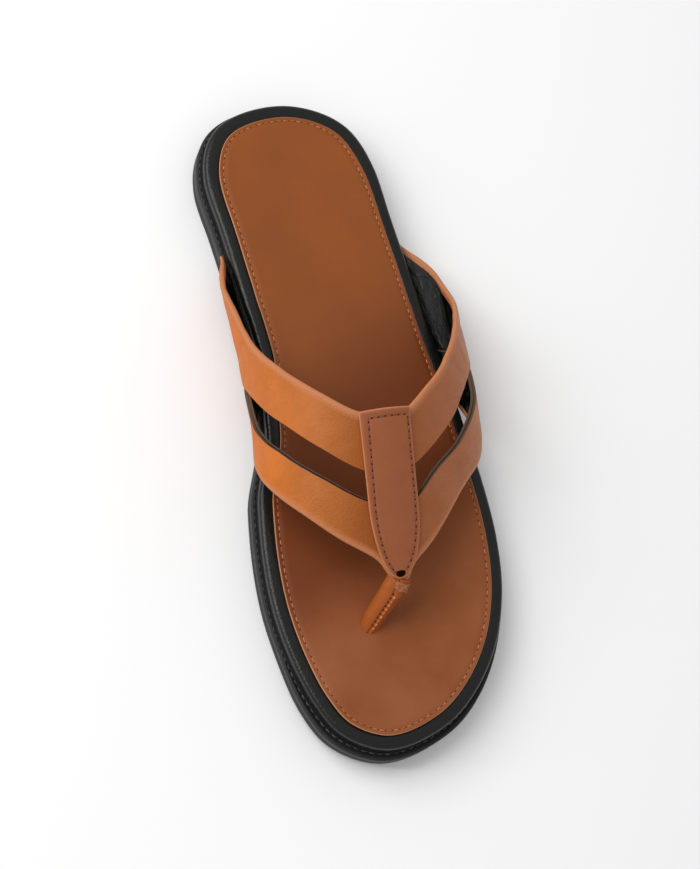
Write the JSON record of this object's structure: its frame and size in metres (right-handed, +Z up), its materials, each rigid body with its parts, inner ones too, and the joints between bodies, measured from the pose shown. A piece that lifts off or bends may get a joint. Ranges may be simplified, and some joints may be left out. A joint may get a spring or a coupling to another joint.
{
  "type": "leather thong slipper",
  "caption": "Open men's thong slipper for the left foot: moulded sole, wrapped footbed, leather insole and a hollow strap upper with a centre strip and a toe post.",
  "frame": {"origin": "bottom centre of the overall box, on the floor that the slipper stands on", "axes": "+Y from the toe to the heel, +X to the outer (lateral) side of a left foot, +Z up"},
  "size_m": [0.1077, 0.2918, 0.0692],
  "materials": {
    "outsole_rubber": "fine matt moulded rubber with a soft sheen on its rounded edges",
    "footbed_wrap": "smooth black leather wrap with a satin sheen",
    "insole_leather": "smooth matt brown leather, slightly cloudy",
    "strap_leather": "smooth tan leather with a fine grain and a satin sheen, black lining inside",
    "strip_leather": "smooth matt brown leather",
    "post_leather": "rolled tan leather, satin"
  },
  "bodies": {
    "root": {"outsole": "outsole_rubber", "footbed": "footbed_wrap", "insole": "insole_leather", "upper": "strap_leather", "vamp_strip": "strip_leather", "toe_post": "post_leather"}
  },
  "joints": []
}
